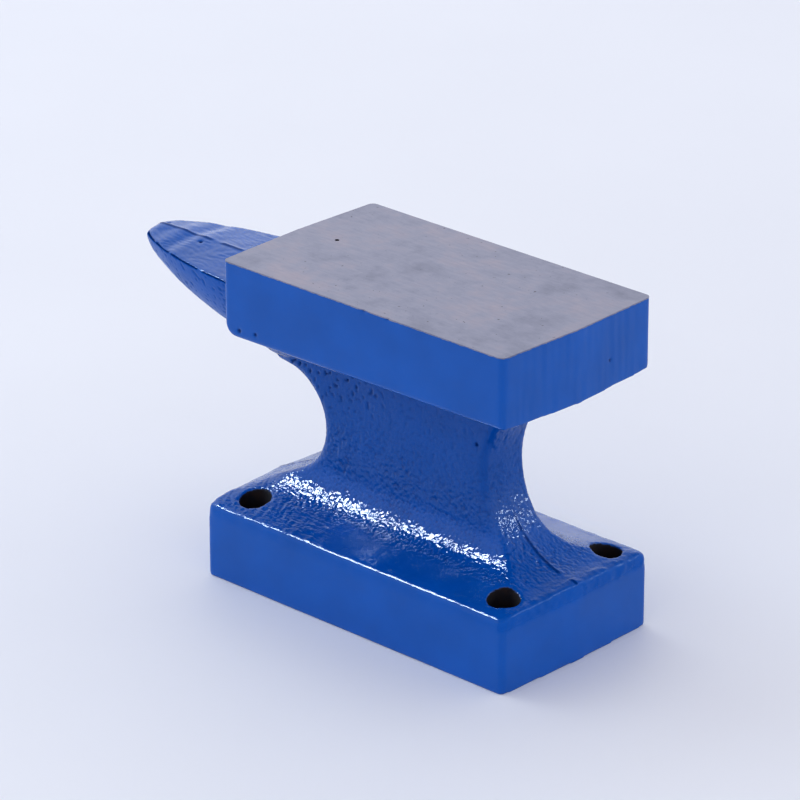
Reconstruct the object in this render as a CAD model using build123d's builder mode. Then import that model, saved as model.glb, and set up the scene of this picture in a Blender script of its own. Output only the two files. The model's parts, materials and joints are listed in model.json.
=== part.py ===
"""Bench anvil: base, waist, table, ground face and horn, laid face to face. Sizes in mm.

Frame: X along the anvil with the horn at +X, Y across it, Z up; the origin is on the floor,
at the middle of the base.
"""
import os
from math import cos, radians, sin, sqrt, tan

from build123d import *

# Sizes shared by the whole casting
HALF_WIDTH = 26.75        # half the width of base and table
DRAFT_DEG = 2.0           # every end face leans back this much either side of the parting line
CORNER_R = 1.5            # upright corners of base and table

# Base
BASE_HALF_LENGTH = 51.0   # at the parting line, in the middle of each end
BASE_SIDE_HEIGHT = 19.6   # height of the long side walls
FLANGE_DEG = 13.0         # the flange climbs this steeply from the side walls to the waist
BASE_TOP_Z = 30.0         # level where the base hands over to the waist
HOLE_R = 4.0
HOLE_SPACING_X = 83.8
HOLE_SPACING_Y = 37.5
HOLE_CENTRE_X = -1.4

# Waist
WEB_HALF = 7.5            # half the waist's thickness at its narrowest level
WEB_FOOT_HALF = 7.75      # and where the fillets begin
WEB_NARROW_Z = 45.0
WEB_TOP_Z = 60.0
WEB_FILLET = 8.5          # into the flange below and the table above
HEEL_ARCH_X = -51.0
HEEL_ARCH_Z = 45.2
HEEL_ARCH_R = 24.2
HEEL_ARCH_END_DEG = 80.0  # the heel arch ends inside the table
HORN_ARCH_X = 42.2
HORN_ARCH_Z = 40.25
HORN_ARCH_R = 14.0
RAMP_DEG = 25.1           # slope of the base's top towards the horn end
KEEL_DEG = 8.0            # slope of the keel that carries the horn's root
HEEL_CREASE_R = 1.6       # rounding of the waist's upright edges
HORN_CREASE_R = 2.5

# Table and its ground face
TABLE_HEEL_X = -50.5
TABLE_HORN_X = 43.6
TABLE_BOTTOM_Z = 66.8     # at the horn end; the underside climbs gently towards the heel
UNDERSIDE_DEG = 0.75
WAIST_OVERLAP = 6.0       # the waist is drawn this far into the table, which then cuts it off
FACE_Z = 87.5
FACE_THICKNESS = 0.4
TABLE_CORNER_R = 3.5      # lower corner below the horn

# Horn
HORN_ROOT_X = 36.0        # the root is let into the table and the keel
HORN_START_X = 43.0
HORN_TIP_X = 95.2
HORN_HALF_WIDTH = 17.0
HORN_RIDGE_Z = 77.05
HORN_EDGE_Z = 76.2
HORN_NOSE_X = 91.2        # where the ridge starts to drop
HORN_TIP_Z = 70.4
HORN_BOTTOM_Z = 55.6
HORN_NECK_X = 53.0        # behind this the flanks fill out towards the keel
HORN_NECK_FILL = 0.25     # by this share of the half-width
HORN_NECK_DROP = 0.8      # and hang lower by this
HORN_HIDDEN_SHARE = 0.8   # the part let into the table starts this much narrower
HORN_HIDDEN_LENGTH = 10.0
HORN_TAPER = 1.78         # powers that shape the taper: along the horn,
HORN_PLAN_ROUND = 1.9     # how round the tip is seen from above
HORN_BELLY_ROUND = 1.03   # and seen from the side
HORN_FLANK_WIDTH = 0.9    # the flank's upper control point, as shares of half-width and depth
HORN_FLANK_DEPTH = 0.4
HORN_BELLY_WIDTH = 0.6    # the lower one, level with the bottom
HORN_STATIONS = 15
HORN_LAST_DEG = 88.5      # sections crowd towards the tip; the last one stands just short of it


def on_circle(x, z, r, degrees):
    """Point of a circle in the side view."""
    return (x + r * cos(radians(degrees)), z + r * sin(radians(degrees)))


def horn_section(x):
    """Half-width, ridge, edge and bottom heights of the horn at x, and how far its flanks fill out."""
    along = max(0.0, (x - HORN_START_X) / (HORN_TIP_X - HORN_START_X))
    shown = min(1.0, max(0.0, (x - HORN_ROOT_X) / HORN_HIDDEN_LENGTH))
    width = HORN_HALF_WIDTH * (HORN_HIDDEN_SHARE + (1 - HORN_HIDDEN_SHARE) * sin(shown * radians(90)))
    taper = 1 - along**HORN_TAPER
    half = width * taper ** (1 / HORN_PLAN_ROUND)
    nose = sqrt(1 - max(0.0, (x - HORN_NOSE_X) / (HORN_TIP_X - HORN_NOSE_X)) ** 2)
    ridge = HORN_TIP_Z + (HORN_RIDGE_Z - HORN_TIP_Z) * nose
    edge = HORN_TIP_Z + (HORN_EDGE_Z - HORN_TIP_Z) * nose
    bottom = HORN_TIP_Z - (HORN_TIP_Z - HORN_BOTTOM_Z) * taper**HORN_BELLY_ROUND
    root = min(1.0, max(0.0, (HORN_NECK_X - x) / (HORN_NECK_X - HORN_START_X)))
    root = root * root * (3 - 2 * root)
    return half, ridge, edge, bottom - HORN_NECK_DROP * root, HORN_NECK_FILL * root


# Base and waist: the side view leans back by the draft on both sides of the parting line
draft = HALF_WIDTH * tan(radians(DRAFT_DEG))
upper_z = TABLE_BOTTOM_Z + WAIST_OVERLAP

with BuildPart() as pedestal:
    for y, lean in ((-HALF_WIDTH, draft), (0.0, 0.0), (HALF_WIDTH, draft)):
        end_x = BASE_HALF_LENGTH - lean
        horn_r = HORN_ARCH_R + lean
        heel_r = HEEL_ARCH_R + lean
        ramp_start = on_circle(HORN_ARCH_X, HORN_ARCH_Z, horn_r, 270.0 - RAMP_DEG)
        ramp_end = (end_x, ramp_start[1] - (end_x - ramp_start[0]) * tan(radians(RAMP_DEG)))
        keel_start = on_circle(HORN_ARCH_X, HORN_ARCH_Z, horn_r, 90.0 + KEEL_DEG)
        keel_x = TABLE_HORN_X - lean
        keel_end = (keel_x, keel_start[1] + (keel_x - keel_start[0]) * tan(radians(KEEL_DEG)))
        heel_foot = (-end_x, HEEL_ARCH_Z - sqrt(heel_r**2 - (HEEL_ARCH_X + end_x) ** 2))
        heel_top = on_circle(HEEL_ARCH_X, HEEL_ARCH_Z, heel_r, HEEL_ARCH_END_DEG)
        with BuildSketch(Plane.XZ.offset(-y)):
            with BuildLine():
                Polyline(heel_foot, (-end_x, 0), (end_x, 0), ramp_end, ramp_start)
                ThreePointArc(
                    ramp_start,
                    on_circle(HORN_ARCH_X, HORN_ARCH_Z, horn_r, 180.0),
                    keel_start,
                )
                Polyline(keel_start, keel_end, (keel_x, upper_z), (heel_top[0], upper_z), heel_top)
                ThreePointArc(
                    heel_top,
                    on_circle(HEEL_ARCH_X, HEEL_ARCH_Z, heel_r, 0.0),
                    heel_foot,
                )
            make_face()
    loft(ruled=True)

    # End view: side walls, flange, waist and the flare under the table
    slope = tan(radians(FLANGE_DEG))
    fillet_y = WEB_FOOT_HALF + WEB_FILLET
    flange_y = fillet_y - WEB_FILLET * sin(radians(FLANGE_DEG))
    flange_z = BASE_SIDE_HEIGHT + (HALF_WIDTH - flange_y) * slope
    fillet_z = flange_z + WEB_FILLET * cos(radians(FLANGE_DEG))
    with BuildSketch(Plane.YZ):
        with BuildLine():
            Polyline(
                (0, 0),
                (HALF_WIDTH, 0),
                (HALF_WIDTH, BASE_SIDE_HEIGHT),
                (flange_y, flange_z),
            )
            RadiusArc((flange_y, flange_z), (WEB_FOOT_HALF, fillet_z), WEB_FILLET)
            ThreePointArc(
                (WEB_FOOT_HALF, fillet_z),
                (WEB_HALF, WEB_NARROW_Z),
                (WEB_FOOT_HALF, WEB_TOP_Z),
            )
            RadiusArc((WEB_FOOT_HALF, WEB_TOP_Z), (fillet_y, WEB_TOP_Z + WEB_FILLET), WEB_FILLET)
            Polyline(
                (fillet_y, WEB_TOP_Z + WEB_FILLET),
                (fillet_y, upper_z),
                (0, upper_z),
                (0, 0),
            )
        make_face()
        mirror(about=Plane.YZ)
    extrude(amount=BASE_HALF_LENGTH, both=True, mode=Mode.INTERSECT)

    creases = [
        edge
        for edge in pedestal.edges()
        if edge.bounding_box().size.Z > 3 and 7 < abs(edge.center().Y) < 16
    ]
    heel_creases = [e for e in creases if e.center().X < -25 and 22 < e.center().Z < 68]
    fillet(heel_creases, HEEL_CREASE_R)
    creases = [
        edge
        for edge in pedestal.edges()
        if edge.bounding_box().size.Z > 3 and 7 < abs(edge.center().Y) < 10
    ]
    fillet([e for e in creases if 25 < e.center().X < 38 and e.center().Z < 50], HORN_CREASE_R)
    walls = pedestal.edges().filter_by(Axis.Z).filter_by_position(Axis.Z, 1, BASE_SIDE_HEIGHT)
    fillet([edge for edge in walls if abs(edge.center().Y) > 1], CORNER_R)

with BuildPart() as table:
    for y, lean in ((-HALF_WIDTH, draft), (0.0, 0.0), (HALF_WIDTH, draft)):
        horn_x = TABLE_HORN_X - lean
        round_x = horn_x - TABLE_CORNER_R
        round_z = TABLE_BOTTOM_Z + lean + TABLE_CORNER_R
        heel_x = TABLE_HEEL_X + lean
        tangent = on_circle(round_x, round_z, TABLE_CORNER_R, 270.0 - UNDERSIDE_DEG)
        heel_z = tangent[1] + (tangent[0] - heel_x) * tan(radians(UNDERSIDE_DEG))
        with BuildSketch(Plane.XZ.offset(-y)):
            with BuildLine():
                Polyline(
                    (horn_x, round_z),
                    (horn_x, FACE_Z),
                    (heel_x, FACE_Z),
                    (heel_x, heel_z),
                    tangent,
                )
                ThreePointArc(
                    tangent,
                    on_circle(round_x, round_z, TABLE_CORNER_R, -45.0),
                    (horn_x, round_z),
                )
            make_face()
    loft(ruled=True)
    upright = table.edges().filter_by(Axis.Z)
    fillet([edge for edge in upright if abs(edge.center().Y) > 1], CORNER_R)

hole_spots = [
    (HOLE_CENTRE_X + side_x * HOLE_SPACING_X / 2, side_y * HOLE_SPACING_Y / 2)
    for side_x in (-1, 1)
    for side_y in (-1, 1)
]
with BuildPart() as base:
    add(pedestal.part)
    split(bisect_by=Plane.XY.offset(BASE_TOP_Z), keep=Keep.BOTTOM)
    with Locations(*[(x, y, BASE_TOP_Z / 2) for x, y in hole_spots]):
        Cylinder(HOLE_R, BASE_TOP_Z, mode=Mode.SUBTRACT)

with BuildPart() as waist:
    add(pedestal.part)
    split(bisect_by=Plane.XY.offset(BASE_TOP_Z), keep=Keep.TOP)
    add(table.part, mode=Mode.SUBTRACT)
    with Locations((TABLE_HORN_X, 0, TABLE_BOTTOM_Z)):
        Box(
            2 * (TABLE_CORNER_R + draft),
            2 * HALF_WIDTH,
            2 * TABLE_CORNER_R,
            align=(Align.CENTER, Align.CENTER, Align.MIN),
            mode=Mode.SUBTRACT,
        )

with BuildPart() as horn:
    for step in range(HORN_STATIONS):
        turn = radians(HORN_LAST_DEG * step / (HORN_STATIONS - 1))
        x = HORN_ROOT_X + (HORN_TIP_X - HORN_ROOT_X) * sin(turn)
        half, ridge, edge_z, bottom, fill = horn_section(x)
        depth = edge_z - bottom
        flank = [
            (half, edge_z),
            (HORN_FLANK_WIDTH * half, edge_z - HORN_FLANK_DEPTH * depth),
            ((HORN_BELLY_WIDTH + fill) * half, bottom),
            (0, bottom),
        ]
        with BuildSketch(Plane.YZ.offset(x)):
            with BuildLine():
                Polyline((-half, edge_z), (0, ridge), (half, edge_z))
                Bezier(*flank)
                Bezier(*[(-y, z) for y, z in reversed(flank)])
            make_face()
    loft()
    add(table.part, mode=Mode.SUBTRACT)
    add(waist.part, mode=Mode.SUBTRACT)

with BuildPart() as face:
    add(table.part)
    split(bisect_by=Plane.XY.offset(FACE_Z - FACE_THICKNESS), keep=Keep.TOP)

with BuildPart() as body_block:
    add(table.part)
    split(bisect_by=Plane.XY.offset(FACE_Z - FACE_THICKNESS), keep=Keep.BOTTOM)

os.makedirs("parts", exist_ok=True)
for label, node in (
    ("base", base),
    ("waist", waist),
    ("table", body_block),
    ("face", face),
    ("horn", horn),
):
    node.part.label = label
    export_step(node.part, f"parts/{label}.step")
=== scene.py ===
import json

import bmesh
import bpy
import numpy as np
from mathutils import Matrix, Vector


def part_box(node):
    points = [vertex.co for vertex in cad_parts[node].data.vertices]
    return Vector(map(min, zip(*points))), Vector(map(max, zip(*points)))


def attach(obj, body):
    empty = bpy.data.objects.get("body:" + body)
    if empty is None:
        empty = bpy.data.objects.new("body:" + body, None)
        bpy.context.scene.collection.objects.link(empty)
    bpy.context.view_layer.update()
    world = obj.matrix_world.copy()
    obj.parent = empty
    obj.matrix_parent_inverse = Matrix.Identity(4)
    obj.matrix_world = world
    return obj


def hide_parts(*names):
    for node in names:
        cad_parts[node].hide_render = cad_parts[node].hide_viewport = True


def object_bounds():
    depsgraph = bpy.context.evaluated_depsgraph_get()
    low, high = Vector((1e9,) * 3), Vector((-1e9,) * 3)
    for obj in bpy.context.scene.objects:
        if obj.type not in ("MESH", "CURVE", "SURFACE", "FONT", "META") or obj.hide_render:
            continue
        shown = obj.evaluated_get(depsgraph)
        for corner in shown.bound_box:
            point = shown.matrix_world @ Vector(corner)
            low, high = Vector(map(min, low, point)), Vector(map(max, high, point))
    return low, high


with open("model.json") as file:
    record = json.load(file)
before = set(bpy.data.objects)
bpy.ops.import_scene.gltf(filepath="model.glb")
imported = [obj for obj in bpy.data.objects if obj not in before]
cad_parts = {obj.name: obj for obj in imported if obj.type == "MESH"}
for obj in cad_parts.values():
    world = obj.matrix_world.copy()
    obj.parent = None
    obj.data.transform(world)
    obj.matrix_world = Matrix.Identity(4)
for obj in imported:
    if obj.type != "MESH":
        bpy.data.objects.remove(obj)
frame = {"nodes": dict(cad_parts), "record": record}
cad_low, cad_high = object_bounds()

MM = 0.001
NODES = ("base", "waist", "table", "face", "horn")
VOXEL = 0.38 * MM  # small enough to carry the grains of the casting
RISE = 1.2 * MM  # the casting stood this much higher before its face was ground
HAIR = 0.01 * MM

waist_low, waist_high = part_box("waist")
table_low, table_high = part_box("table")
face_low, face_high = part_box("face")
FACE_Z = face_high.z
bolts = next(m for m in frame["record"]["mounts"] if m["kind"] == "bolt_pattern")
sizes = bolts["dims"]

# Steps of evening out, which wear the edges of the skin round
WEAR_STEPS = 4  # everywhere
RIM_STEPS = 26  # upper edges of the base
FLANGE_STEPS = 160  # where the flange's horn end runs into the ramp
TIP_STEPS = 24  # tip of the horn
NORMAL_STEPS = 12  # for the smoothed normals that tell the kinds of surface apart

# How far the surface features stand out of the skin or lie in it, in millimetres
LONG_WAVE = 0.05
SHORT_WAVE = 0.012
LONG_WAVE_CAST = 0.07  # the waves are this much higher where the casting was left rough
SHORT_WAVE_CAST = 0.035
PIT_DEPTH = 0.34
WRINKLE = 0.075
WRINKLE_WARP = 2.2  # how far the wrinkles are led astray
TIP_SWELL = 0.3
RIPPLE = 0.075
HOLE_STREAK = 0.085
HEEL_STREAK = 0.035
HEEL_LUMP = 0.06
FLASH_HEIGHT = 0.17
FLASH_WIDTH = 0.5
GROOVE_DEPTH = 0.13
RIM_WAVE = 0.11
RIM_LUMP = 0.05
HEEL_RIM_LUMP = 0.15

# Heights of the grains on each kind of surface, in millimetres
GRAIN_EVERYWHERE = 0.0012
GRAIN_WAIST = 0.022
GRAIN_WAIST_FOOT = 0.045  # added low on the waist
GRAIN_FILLET = 0.070
GRAIN_FLANGE = 0.022
GRAIN_ARCH = 0.040
GRAIN_HORN = 0.024
GRAIN_HEEL_CORNER = 0.08

# Single pits and pimples: place, radius and height in millimetres
MARKS = [
    ((74.7, 2.9, 77.0), 0.55, -0.5),
    ((90.1, -0.8, 76.6), 0.6, -0.3),
    ((31.3, -1.9, 88.7), 0.8, -2.1),
    ((-4.9, 26.3, 87.6), 0.7, -0.6),
    ((-12.7, 26.6, 87.6), 0.6, -0.5),
    ((18.4, 26.7, 76.5), 0.5, 0.14),
    ((37.4, 26.7, 70.1), 0.55, -0.45),
    ((31.8, 26.7, 70.6), 0.5, -0.35),
    ((-50.1, -11.2, 75.7), 0.4, -0.3),
    ((-50.5, 5.9, 13.3), 0.4, 0.12),
    ((-24.0, 7.6, 51.8), 0.6, -0.3),
]


# ---------------------------------------------------------------- numbers
def ramp(low, high, value):
    """0 below low, 1 above high, smooth between; high may be under low."""
    t = np.clip((value - low) / (high - low), 0, 1)
    return t * t * (3 - 2 * t)


def band(low, high, soft, value):
    """1 between low and high, fading out over soft on both sides."""
    return ramp(low - soft, low, value) * ramp(high + soft, high, value)


def hill(distance, width):
    """1 at distance 0, falling towards 0 within about twice the width."""
    return np.exp(-((distance / width) ** 2))


def turned(points, along, across):
    """Points turned about Z, by the angle whose cosine is along and whose sine is across."""
    return points @ np.array([[along, across, 0], [-across, along, 0], [0, 0, 1]])


random = np.random.default_rng(7)
directions = random.normal(size=(256, 3))
directions /= np.linalg.norm(directions, axis=1)[:, None]
HASH = np.array((73856093, 19349663, 83492791))  # large primes that spread cells over the directions
SCRAMBLE = 1274126177
SEED_STEP = 13.7  # cells between the noises of two seeds
GAIN = 1.7  # brings the noise near to the range from -1 to 1


def noise(points, size, seed):
    """Gradient noise between about -1 and 1; size is that of its features in millimetres."""
    q = points / (np.asarray(size) * MM) + seed * SEED_STEP
    cell = np.floor(q).astype(np.int64)
    f = q - cell
    u = f * f * f * (f * (f * 6 - 15) + 10)
    total = np.zeros(len(points))
    for corner in np.ndindex(2, 2, 2):
        key = np.bitwise_xor.reduce((cell + corner) * HASH, axis=1)
        key = (key ^ (key >> 13)) * SCRAMBLE
        g = directions[(key ^ (key >> 16)) & 255]
        weight = np.prod(np.where(np.array(corner) == 1, u, 1 - u), axis=1)
        total += weight * ((f - corner) * g).sum(1)
    return total * GAIN


def read(elements, field, width=1, kind=np.float64):
    """A field of mesh elements as an array with one row for each."""
    values = np.zeros(len(elements) * width, kind)
    elements.foreach_get(field, values)
    return values.reshape(-1, width)


# ---------------------------------------------------------------- the skin of the casting
def casting_skin():
    """One continuous closed mesh over all the nodes of the CAD part, before grinding."""
    bm = bmesh.new()
    for name in NODES:
        bm.from_mesh(frame["nodes"][name].data)
    for v in bm.verts:
        if v.co.z > FACE_Z - HAIR:
            v.co.z += RISE
    raw = bpy.data.meshes.new("raw")
    bm.to_mesh(raw)
    bm.free()
    holder = bpy.data.objects.new("raw", raw)
    bpy.context.scene.collection.objects.link(holder)
    remesh = holder.modifiers.new("voxels", "REMESH")
    remesh.mode = "VOXEL"
    remesh.voxel_size = VOXEL
    graph = bpy.context.evaluated_depsgraph_get()
    skin = bpy.data.meshes.new_from_object(holder.evaluated_get(graph))
    bpy.data.objects.remove(holder)
    bpy.data.meshes.remove(raw)
    return skin


skin = casting_skin()
count = len(skin.vertices)
co = read(skin.vertices, "co", 3)
edges = read(skin.edges, "vertices", 2, np.int64)
quads = read(skin.loops, "vertex_index", 1, np.int64).reshape(-1, 4)
valence = np.bincount(edges.ravel(), minlength=count)[:, None]


def relax(values, steps, where=None):
    """Evens values out over the mesh, everywhere or by the weights in where."""
    weight = 0.5 if where is None else 0.5 * where[:, None]
    for _ in range(steps):
        around = np.stack(
            [
                np.bincount(edges[:, 0], values[edges[:, 1], k], count)
                + np.bincount(edges[:, 1], values[edges[:, 0], k], count)
                for k in range(values.shape[1])
            ],
            axis=1,
        )
        values = values + weight * (around / valence - values)
    return values


def normals(points):
    """Normals of the skin's vertices when they stand at points."""
    cross = np.cross(
        points[quads[:, 2]] - points[quads[:, 0]], points[quads[:, 3]] - points[quads[:, 1]]
    )
    flat = quads.ravel()
    total = np.stack(
        [np.bincount(flat, np.repeat(cross[:, k], 4), count) for k in range(3)], axis=1
    )
    return total / np.linalg.norm(total, axis=1)[:, None]


# Worn edges. From here on places are in millimetres in the part's frame, and a fade is written as
# the two places between which it happens.
co = relax(co, WEAR_STEPS)
x, y, z = co.T / MM
rim = band(17.5, 26, 2.0, z) * np.maximum(ramp(23.0, 24.5, abs(y)), ramp(47.5, 49.0, abs(x)))
co = relax(co, RIM_STEPS, rim)
to_hole = np.hypot(
    abs(abs(x - bolts["pos_m"][0] / MM) - sizes["spacing_x_mm"] / 2),
    abs(abs(y) - sizes["spacing_y_mm"] / 2),
)
blend = ramp(10, 20, x) * ramp(49, 46, x) * band(18.5, 30, 1.0, z)
blend = blend * ramp(23.8, 22, abs(y)) * ramp(8.5, 11, abs(y)) * ramp(5.0, 6.5, to_hole)
co = relax(co, FLANGE_STEPS, blend)
co = relax(co, TIP_STEPS, ramp(86, 91, x))

x, y, z = co.T / MM
n = normals(co)
soft_n = relax(n, NORMAL_STEPS)
soft_n /= np.linalg.norm(soft_n, axis=1)[:, None]
up = soft_n[:, 2]
sideways = ramp(0.75, 0.3, up)  # 1 on steep surfaces

# where each kind of surface lies, as weights from 0 to 1
on_horn = ramp(44.0, 45.0, x) * ramp(50, 54, z)
on_table = ramp(66.2, 67.5, z) * ramp(44.6, 44.2, x)
on_waist = band(30, 66.5, 2, z) * ramp(44.6, 44.0, x) * ramp(17, 15, abs(y))
on_flange = ramp(0.55, 0.8, up) * ramp(34, 31, z) * ramp(17, 19, z)
on_fillet = band(23, 39, 3, z) * ramp(20.5, 17, abs(y)) * (1 - on_table)
on_arch = np.maximum(ramp(-28, -33, x), ramp(24, 28, x))
on_arch = on_arch * on_waist * ramp(0.5, 0.75, abs(soft_n[:, 0]) + abs(up))
cast = np.clip(np.maximum.reduce([on_waist, on_flange, on_fillet, on_horn]), 0, 1)
heel_flange = on_flange * ramp(-28, -36, x)

# long soft waves of a sand casting, lower on the horn
wavy = cast * (1 - 0.8 * on_horn)
wave = noise(co, 14, 1) * (LONG_WAVE + LONG_WAVE_CAST * wavy)
wave = wave + noise(co, 5, 2) * (SHORT_WAVE + SHORT_WAVE_CAST * wavy)

# grains: rough low on the waist, on fillets and arches, almost gone in the middle of the flange
grain = noise(co, (1.7, 1.3, 1.0), 3) + 0.7 * noise(co, 0.85, 4)
flat_middle = band(-34, 16, 9, x) * ramp(15.0, 18.0, abs(y)) * on_flange
patch = 0.8 + 0.45 * noise(co, 9, 5)
heel_corner = hill(x + 32.5, 4.0) * band(27, 40, 2, z) * ramp(5, 8, abs(y))
level = np.maximum.reduce(
    [
        GRAIN_WAIST * on_waist + GRAIN_WAIST_FOOT * on_waist * ramp(48, 38, z),
        GRAIN_FILLET * on_fillet,
        GRAIN_FLANGE * on_flange,
        GRAIN_ARCH * on_arch,
        GRAIN_HORN * on_horn * sideways,
        GRAIN_HEEL_CORNER * heel_corner,
    ]
)
level = level * patch * (1 - 0.9 * flat_middle) + GRAIN_EVERYWHERE
height = wave + level * grain

# pits under the table, towards the horn arch and the heel edge, and a few on the rest of the waist
# and on the horn's flanks
pit_share = ramp(44, 58, z) * np.maximum(ramp(0, 20, x), ramp(-29, -34, x))
pit_share = on_waist * (0.2 + 0.8 * np.maximum(pit_share, ramp(58, 63, z)))
pit_share = pit_share + 0.3 * on_horn * ramp(0.7, 0.3, up)
pits = pit_share * ramp(0.24, 0.5, noise(co, 1.3, 6))
height -= PIT_DEPTH * pits

# flow wrinkles on the horn's top, and a tip that is a little fuller than the CAD part's
warp = np.stack([noise(co, 9, 8), noise(co, 9, 9), 0 * x], 1) * WRINKLE_WARP * MM
wrinkle = noise(turned(co + warp, 0.94, 0.34), (2.4, 0.8, 4.0), 10)
height += WRINKLE * on_horn * ramp(0.7, 0.9, up) * wrinkle
height += TIP_SWELL * on_horn * ramp(84, 93, x) * ramp(0.6, 0.1, up)

# ripples down the end faces of the table
height += RIPPLE * on_table * ramp(0.7, 0.95, abs(soft_n[:, 0])) * noise(co, (30, 2.0, 16), 11)

# brushed streaks on the flange near the holes at the horn end, finer ones at the heel end, and
# lumps on the far side there
streaked = on_flange * ramp(5, 14, x) * ramp(9, 12, abs(y))
height += HOLE_STREAK * streaked * noise(turned(co, 0.41, 0.91), (2.8, 0.85, 3.5), 12)
height += HEEL_STREAK * heel_flange * noise(co, (1.2, 4.0, 4.0), 13)
height += HEEL_LUMP * heel_flange * ramp(2, -4, y) * noise(co, 1.4, 19)

# the flash line where the two halves of the mould met, with a dark line along its near side that is part
# dirt and part painted shade
broken = np.maximum(ramp(-0.5, 0.0, noise(co, (5, 50, 5), 14)), ramp(76, 80, x))
flash = np.maximum.reduce([on_horn, on_arch, on_flange * ramp(30, 34, abs(x))]) * broken
height += FLASH_HEIGHT * flash * hill(y, FLASH_WIDTH)
flash_dirt_and_shade = flash * hill(y - 0.35, 0.35)

# the upper edge of the horn stands proud of a groove
groove = on_horn * band(0.2, 0.62, 0.12, up) * ramp(94, 91, x) * ramp(60, 66, z)
groove = groove * ramp(-0.6, -0.2, noise(co, 3.5, 15))
height -= GROOVE_DEPTH * groove

# the upper edges of the base wander
height += RIM_WAVE * rim * noise(co, 4.5, 16) + RIM_LUMP * rim * noise(co, 1.6, 17)
height += HEEL_RIM_LUMP * rim * ramp(-47, -49, x) * noise(co, 2.0, 18)

co = co + n * height[:, None] * MM
pitted = np.zeros(count)
for place, radius, rise in MARKS:
    away = np.linalg.norm(co - np.array(place) * MM, axis=1) / (radius * MM)
    co = co + n * (rise * MM * hill(away, 1))[:, None]
    if rise < 0:
        pitted = np.maximum(pitted, ramp(1.3, 0.6, away))

# nothing leaves the CAD part's box, apart from the skin that is ground off the top
co = np.clip(co, np.array(cad_low), np.array(cad_high) + [0, 0, RISE])
skin.vertices.foreach_set("co", co.ravel())
skin.update()
n = normals(co)


# ---------------------------------------------------------------- weights that the paint reads
def store(name, values, kind="FLOAT"):
    """Keeps values on the skin's vertices as an attribute."""
    layer = skin.attributes.new(name, kind, "POINT")
    field = "vector" if kind == "FLOAT_VECTOR" else "value"
    layer.data.foreach_set(field, values.astype(np.float32).ravel())


store("skin_normal", n, "FLOAT_VECTOR")
store("grit", np.clip(level / GRAIN_FILLET, 0, 1) * (1 - 0.7 * on_horn))
store("streak", streaked)

# duller paint on the horn's flanks, a patch of the near flange, the upper waist, the near upper edge
# of the base, and the flange and edge at the heel end
flange_patch = on_flange * band(2, 12, 4, x) * ramp(14, 16, y) * ramp(26.5, 25.5, y)
heel_rim = rim * ramp(-47.5, -49, x)
dull = np.maximum.reduce(
    [
        on_horn * sideways,
        0.8 * flange_patch,
        0.35 * on_waist * ramp(34, 42, z),
        0.35 * rim * ramp(23, 24.5, y),
        ramp(-34, -40, x) * np.maximum(0.45 * on_flange, 0.9 * heel_rim),
    ]
)
store("dull", dull)
# painted shade: the waist under the table's overhang is coloured darker, fading in between 27 and 34 mm up
store("waist_shade", on_waist * ramp(27, 34, z))
# dark paint in the horn's groove, along the flash line and in the pits: part dirt, part painted shade in
# those recesses
store("dirt_and_shade", np.clip(np.maximum.reduce([groove, 0.9 * flash_dirt_and_shade, pitted, 0.8 * pits]), 0, 1))

# the drilled holes are bare inside: rust tints, and near-black as painted shade in the deep holes
inside = ramp(0.35, 0.1, to_hole - sizes["hole_r_mm"]) * ramp(34, 32, z)
store("bore", inside * ramp(0.75, 0.45, abs(n[:, 2])))


# ---------------------------------------------------------------- cutting it into the named pieces
WAIST_IN_TABLE = 0.4 * MM  # the waist's top lies about this far above the table's underside
UNDER_TABLE = 1.0 * MM  # the waist is cut off this far below the underside
BEFORE_TABLE = 0.7 * MM  # and the horn this far before the table's end face
HORN_FLOOR_Z = 45 * MM  # the horn's piece keeps nothing below this level

UP, AHEAD = Vector((0, 0, 1)), Vector((1, 0, 0))
slope = (table_low.z - (waist_high.z - WAIST_IN_TABLE)) / (table_high.x - table_low.x)
under = Vector((table_high.x, 0, table_low.z - UNDER_TABLE)), Vector((-slope, 0, 1)).normalized()
foot = Vector((0, 0, waist_low.z)), UP
ground = Vector((0, 0, FACE_Z)), UP
under_face = Vector((0, 0, face_low.z)), UP
horn_root = Vector((table_high.x + BEFORE_TABLE, 0, 0)), AHEAD
clear_of_base = Vector((0, 0, HORN_FLOOR_Z)), UP


def piece(name, keep_below=(), keep_above=()):
    """A closed piece of the skin, cut by planes; cut faces are flat, the rest keeps the skin's normals."""
    bm = bmesh.new()
    bm.from_mesh(skin)
    cap = bm.faces.layers.int.new("cap")
    for planes, flip in ((keep_below, 1), (keep_above, -1)):
        for spot, direction in planes:
            bmesh.ops.bisect_plane(
                bm,
                geom=bm.verts[:] + bm.edges[:] + bm.faces[:],
                plane_co=spot,
                plane_no=direction * flip,
                clear_outer=True,
            )
            loose = [e for e in bm.edges if e.is_boundary]
            if loose:
                for f in bmesh.ops.holes_fill(bm, edges=loose, sides=0)["faces"]:
                    f[cap] = 1
    bm.faces.ensure_lookup_table()
    bmesh.ops.recalc_face_normals(bm, faces=bm.faces[:])
    mesh = bpy.data.meshes.new(name)
    bm.to_mesh(mesh)
    bm.free()
    stored = read(mesh.attributes["skin_normal"].data, "vector", 3, np.float32)
    stored /= np.maximum(np.linalg.norm(stored, axis=1), 1e-6)[:, None]
    shading = stored[read(mesh.loops, "vertex_index", 1, np.int64).ravel()]
    caps = read(mesh.attributes["cap"].data, "value", 1, np.int32).ravel()
    for i in np.nonzero(caps)[0]:
        face = mesh.polygons[i]
        shading[face.loop_start : face.loop_start + face.loop_total] = face.normal
    mesh.shade_smooth()
    mesh.normals_split_custom_set(shading.tolist())
    made = bpy.data.objects.new(name, mesh)
    bpy.context.scene.collection.objects.link(made)
    return made


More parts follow.
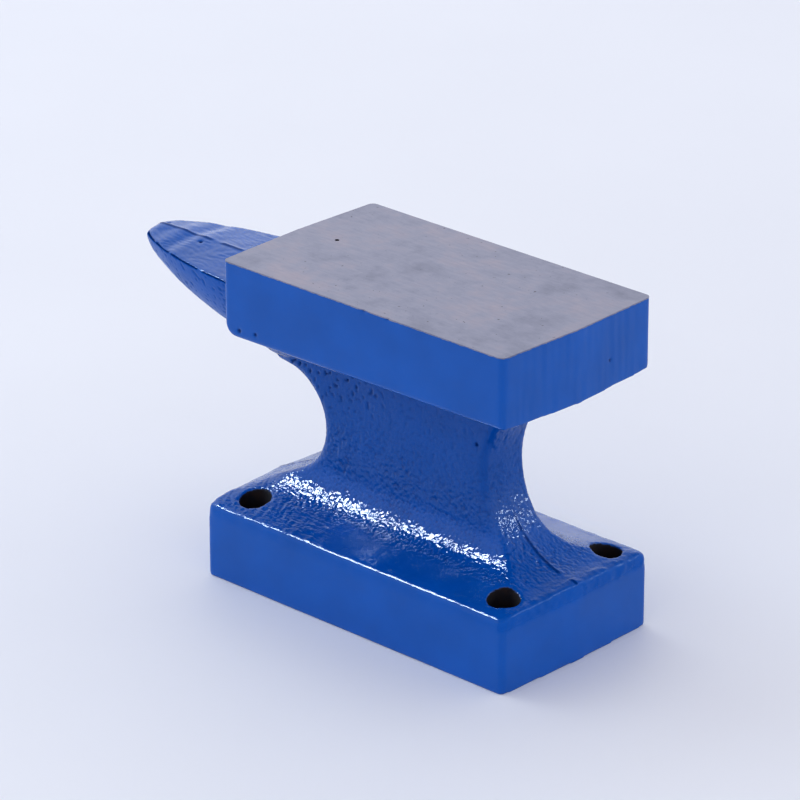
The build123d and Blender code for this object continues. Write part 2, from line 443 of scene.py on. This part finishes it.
# ---------------------------------------------------------------- materials
# Noise scales are in features per metre.
WHITE, BLACK = (1, 1, 1), (0, 0, 0)
PAINT, PAINT_LIGHT = (0.0004, 0.083, 0.365), (0.001, 0.098, 0.428)
PAINT_SPECK = (0.001, 0.012, 0.12)
# next, a darker blue that is painted shade for the waist under the table
PAINT_WAIST_SHADE = (0.0005, 0.045, 0.19)
# next, a dark blue for pits, the horn's groove and the flash line: part dirt, part painted shade
PAINT_DIRT_AND_SHADE = (0.001, 0.01, 0.07)
PAINT_EDGE = (0.001, 0.083, 0.365)
# painted shade inside the holes, and the rust tint of their walls
BORE_SHADE, BORE_RUST = (0.005, 0.005, 0.012), (0.020, 0.010, 0.009)
IRON_DARK, IRON, IRON_LIGHT = (0.185, 0.193, 0.257), (0.248, 0.255, 0.328), (0.298, 0.274, 0.328)
IRON_STREAK, IRON_PIT = (0.14, 0.135, 0.17), (0.05, 0.045, 0.06)
# dark paint for the pits at the face's edge, part dirt and part painted shade
EDGE_DIRT_AND_SHADE = (0.002, 0.003, 0.01)
FLOOR, FLOOR_LIGHT = (0.79, 0.80, 0.855), (0.81, 0.82, 0.875)
STROKE_TURN = 1.147  # radians that the brush strokes on the flange are turned by


class Nodes:
    """A short way to write a node tree."""

    def __init__(self, name):
        self.material = bpy.data.materials.new(name)
        self.material.use_nodes = True
        self.tree = self.material.node_tree
        self.shader = self.tree.nodes["Principled BSDF"]

    def add(self, kind, inputs=(), **settings):
        node = self.tree.nodes.new(kind)
        for key, value in settings.items():
            setattr(node, key, value)
        for key, value in dict(inputs).items():
            if isinstance(value, bpy.types.NodeSocket):
                self.tree.links.new(value, node.inputs[key])
            else:
                node.inputs[key].default_value = value
        return node

    def link(self, socket, name):
        self.tree.links.new(socket, self.shader.inputs[name])

    def place(self):
        return self.add("ShaderNodeTexCoord").outputs["Object"]

    def stretched(self, scale, turn=0.0):
        """Places for a noise that is stretched by different scales along its axes."""
        return self.add(
            "ShaderNodeMapping",
            {"Vector": self.place(), "Rotation": (0, 0, turn), "Scale": scale},
        ).outputs[0]

    def noise(self, vector, scale, detail=2.0, rough=0.5):
        return self.add(
            "ShaderNodeTexNoise",
            {"Vector": vector, "Scale": scale, "Detail": detail, "Roughness": rough},
        ).outputs["Fac"]

    def steps(self, value, stops):
        node = self.add("ShaderNodeValToRGB", {"Fac": value})
        bar = node.color_ramp.elements
        while len(bar) < len(stops):
            bar.new(0.5)
        for element, (position, colour) in zip(bar, stops):
            element.position = position
            element.color = (*colour, 1)
        return node.outputs["Color"]

    def number(self, operation, a, b):
        return self.add("ShaderNodeMath", {0: a, 1: b}, operation=operation).outputs[0]

    def times(self, a, b, plus=0.0):
        """a times b, plus a third value."""
        inputs = {0: a, 1: b, 2: plus}
        return self.add("ShaderNodeMath", inputs, operation="MULTIPLY_ADD").outputs[0]

    def mix(self, factor, a, b):
        node = self.add("ShaderNodeMix", {}, data_type="RGBA")
        for socket, value in zip((node.inputs[0], node.inputs[6], node.inputs[7]), (factor, a, b)):
            if isinstance(value, bpy.types.NodeSocket):
                self.tree.links.new(value, socket)
            else:
                socket.default_value = value if isinstance(value, float) else (*value, 1)
        return node.outputs[2]

    def attribute(self, name):
        return self.add("ShaderNodeAttribute", attribute_name=name).outputs["Fac"]

    def bump(self, height, strength, distance):
        inputs = {"Height": height, "Strength": strength, "Distance": distance}
        self.link(self.add("ShaderNodeBump", inputs).outputs[0], "Normal")


def enamel():
    """Thick glossy blue paint on rough iron; the drilled holes have none, and their walls are near-black
    painted shade with rust tints.
    """
    m = Nodes("blue_enamel")
    names = ("grit", "dirt_and_shade", "dull", "waist_shade", "streak", "bore")
    grit, dirt_and_shade, dull, waist_shade, streak, bore = (m.attribute(name) for name in names)
    grains = m.steps(m.noise(m.place(), 1100.0, 2.0), [(0.30, WHITE), (0.47, BLACK)])
    # hole walls: near-black painted shade mixed with rust tints
    bore_rust_and_shade = m.steps(m.noise(m.place(), 300.0, 3.0), [(0.4, BORE_SHADE), (0.7, BORE_RUST)])

    colour = m.steps(m.noise(m.place(), 70.0, 3.0), [(0.3, PAINT), (0.7, PAINT_LIGHT)])
    colour = m.mix(m.times(grains, m.times(grit, 0.4)), colour, PAINT_SPECK)
    # painted shade darkens the waist under the table
    colour = m.mix(m.times(waist_shade, 0.3), colour, PAINT_WAIST_SHADE)
    # darker in pits, the horn's groove and along the flash line: part dirt, part painted shade
    colour = m.mix(m.times(dirt_and_shade, 0.8), colour, PAINT_DIRT_AND_SHADE)
    m.link(m.mix(bore, colour, bore_rust_and_shade), "Base Color")

    # the dark marks, part dirt and part painted shade, and dull paint reflect less; dull paint and bare
    # iron also spread what they reflect
    m.link(m.times(dull, -0.3, m.times(dirt_and_shade, -0.45, 0.5)), "Specular IOR Level")
    gloss = m.times(dull, 0.2, m.times(m.noise(m.place(), 260.0, 3.0), 0.10, 0.06))
    m.link(m.number("MAXIMUM", gloss, m.times(bore, 0.8)), "Roughness")

    peel = m.noise(m.place(), 330.0, 1.0)
    lumps = m.times(m.noise(m.place(), 1100.0, 0.5), grit)
    strokes = m.noise(m.stretched((420.0, 1500.0, 400.0), STROKE_TURN), 1.0, 1.0)
    relief = m.times(strokes, m.times(streak, 0.5), m.times(peel, 0.03, lumps))
    m.bump(relief, 1.0, 0.30 * MM)
    m.shader.inputs["IOR"].default_value = 1.39
    return m.material


def ground_iron():
    """Iron ground flat, with marks along the anvil; paint begins again just below its edge."""
    m = Nodes("ground_iron")
    cloud = m.noise(m.place(), 75.0, 5.0, 0.7)
    streaks = m.noise(m.stretched((200.0, 900.0, 400.0)), 1.0, 5.0, 0.65)
    pits = m.steps(m.noise(m.place(), 900.0, 2.0), [(0.25, WHITE), (0.29, BLACK)])
    colour = m.steps(cloud, [(0.3, IRON_DARK), (0.5, IRON), (0.7, IRON_LIGHT)])
    colour = m.mix(m.times(streaks, 0.22), colour, IRON_STREAK)
    colour = m.mix(m.times(pits, 0.8), colour, IRON_PIT)

    z = m.add("ShaderNodeSeparateXYZ", {0: m.place()}).outputs["Z"]
    ragged = m.times(m.noise(m.place(), 500.0, 4.0, 0.7), 0.8 * MM, z)
    bare = m.number("GREATER_THAN", ragged, FACE_Z + 0.1 * MM)
    # the paint at the face's edge darkens in pits, part dirt and part painted shade
    paint = m.mix(m.attribute("dirt_and_shade"), PAINT_EDGE, EDGE_DIRT_AND_SHADE)
    m.link(m.mix(bare, paint, colour), "Base Color")
    m.link(bare, "Metallic")
    m.link(m.times(streaks, 0.25, 0.24), "Roughness")
    m.bump(m.times(cloud, 0.8, streaks), 0.5, 0.04 * MM)
    m.shader.inputs["IOR"].default_value = 1.4
    return m.material


def floor_material():
    """Pale matt floor with barely visible clouds."""
    m = Nodes("pale_floor")
    colour = m.steps(m.noise(m.place(), 7.0, 3.0), [(0.3, FLOOR), (0.7, FLOOR_LIGHT)])
    m.link(colour, "Base Color")
    m.shader.inputs["Roughness"].default_value = 0.6
    return m.material


blue = enamel()
iron = ground_iron()

made = {
    "base": piece("base_casting", keep_below=[foot]),
    "waist": piece("waist_casting", keep_below=[horn_root, under], keep_above=[foot]),
    "table": piece("table_casting", keep_below=[horn_root, under_face], keep_above=[under]),
    "face": piece("ground_face", keep_below=[ground], keep_above=[under_face]),
    "horn": piece("horn_casting", keep_above=[horn_root, clear_of_base]),
}
for node, obj in made.items():
    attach(obj, "root")
    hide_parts(node)
    obj.data.materials.clear()
    obj.data.materials.append(iron if node == "face" else blue)

# ---------------------------------------------------------------- floor, light and camera
FLOOR_HALF = 4.0  # metres from the middle to each side
LAMP_COLOUR = (0.78, 0.90, 1.0)
HORIZON_LIGHT, OVERHEAD_LIGHT = (0.92, 0.925, 0.975, 1), (0.43, 0.437, 0.465, 1)
STUDIO_STRENGTH = 1.18
CAMERA_PLACE = Vector((-0.70587, 0.76101, 0.50267))
AZIMUTH, ELEVATION, ROLL = np.radians((133.180, 23.368, -0.1145))

floor_mesh = bpy.data.meshes.new("floor")
corners = [(-1, -1), (1, -1), (1, 1), (-1, 1)]
floor_mesh.from_pydata([(FLOOR_HALF * i, FLOOR_HALF * j, 0) for i, j in corners], [], [range(4)])
floor = bpy.data.objects.new("floor", floor_mesh)
bpy.context.scene.collection.objects.link(floor)
floor_mesh.materials.append(floor_material())

# the studio's soft light: bright towards the floor and the horizon, greyer overhead
world = bpy.data.worlds.new("studio")
bpy.context.scene.world = world
world.use_nodes = True
sky = world.node_tree.nodes
links = world.node_tree.links
height_above = sky.new("ShaderNodeSeparateXYZ")
links.new(sky.new("ShaderNodeTexCoord").outputs["Generated"], height_above.inputs[0])
tent = sky.new("ShaderNodeValToRGB")
links.new(height_above.outputs["Z"], tent.inputs["Fac"])
for stop, position, colour in zip(
    tent.color_ramp.elements, (0.44, 0.80), (HORIZON_LIGHT, OVERHEAD_LIGHT)
):
    stop.position = position
    stop.color = colour
links.new(tent.outputs["Color"], sky["Background"].inputs["Color"])
sky["Background"].inputs["Strength"].default_value = STUDIO_STRENGTH


def soft_box(name, place, aim, width, height, power, lights_surfaces=True):
    """A rectangular lamp; one that doesn't light surfaces is only seen in their reflections."""
    lamp = bpy.data.lights.new(name, "AREA")
    lamp.color = LAMP_COLOUR
    lamp.shape = "RECTANGLE"
    lamp.size = width
    lamp.size_y = height
    lamp.energy = power
    holder = bpy.data.objects.new(name, lamp)
    bpy.context.scene.collection.objects.link(holder)
    holder.location = place
    holder.rotation_mode = "QUATERNION"
    holder.rotation_quaternion = (Vector(aim) - Vector(place)).to_track_quat("-Z", "Y")
    holder.visible_diffuse = lights_surfaces


# broad lights from the horn end, glint makes the highlight along the flange, and spark the
# sparkles on the heel arch
soft_box("broad", (1.25, 0.0, 1.35), (0, 0, 0.04), 1.4, 1.1, 4.8)
soft_box("glint", (0.82, 0.36, 0.95), (0, 0, 0.04), 0.46, 0.40, 25, lights_surfaces=False)
soft_box("spark", (-0.95, -0.84, 0.62), (-0.03, 0, 0.03), 0.22, 0.22, 4, lights_surfaces=False)

back = Vector(
    (np.cos(AZIMUTH) * np.cos(ELEVATION), np.sin(AZIMUTH) * np.cos(ELEVATION), np.sin(ELEVATION))
)
level_right = UP.cross(back).normalized()
level_up = back.cross(level_right)
right = level_right * np.cos(ROLL) + level_up * np.sin(ROLL)
upward = level_up * np.cos(ROLL) - level_right * np.sin(ROLL)
turn = Matrix((right, upward, back)).transposed().to_4x4()
camera_data = bpy.data.cameras.new("camera")
camera_data.sensor_width = 36
camera_data.lens = 206.96
camera_data.clip_start = 0.05
camera_data.clip_end = 20
camera = bpy.data.objects.new("camera", camera_data)
bpy.context.scene.collection.objects.link(camera)
camera.matrix_world = Matrix.Translation(CAMERA_PLACE) @ turn
bpy.context.scene.camera = camera
bpy.context.scene.view_settings.view_transform = "Standard"
bpy.context.scene.view_settings.look = "Medium High Contrast"
